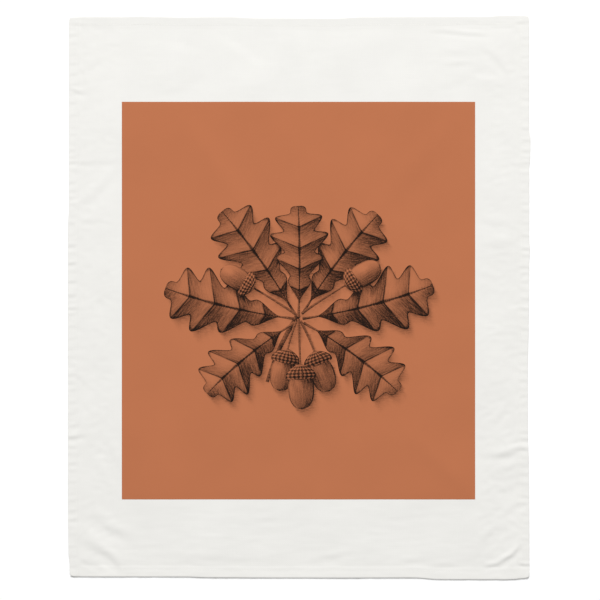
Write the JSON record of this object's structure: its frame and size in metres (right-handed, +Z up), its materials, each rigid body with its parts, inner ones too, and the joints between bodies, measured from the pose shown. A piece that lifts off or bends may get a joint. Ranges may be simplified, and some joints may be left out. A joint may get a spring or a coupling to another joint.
{
  "type": "tea towel",
  "caption": "Cotton tea towel with double-turned stitched hems and a printed panel, lying flat and face up.",
  "frame": {"origin": "on the table, under the middle of the towel's bounding box", "axes": "+Z up out of the printed face, +Y along the towel's length towards the top of the print, +X across its width"},
  "size_m": [0.457, 0.559, 0.0029],
  "materials": {
    "white_cotton": "matte",
    "pigment_ink": "matte",
    "sewing_thread": "matte"
  },
  "bodies": {
    "root": {"cotton_panel": "white_cotton", "print_ink": "pigment_ink", "needle_thread_top": "sewing_thread", "needle_thread_bottom": "sewing_thread", "needle_thread_left": "sewing_thread", "needle_thread_right": "sewing_thread", "bobbin_thread_top": "sewing_thread", "bobbin_thread_bottom": "sewing_thread", "bobbin_thread_left": "sewing_thread", "bobbin_thread_right": "sewing_thread"}
  },
  "joints": []
}
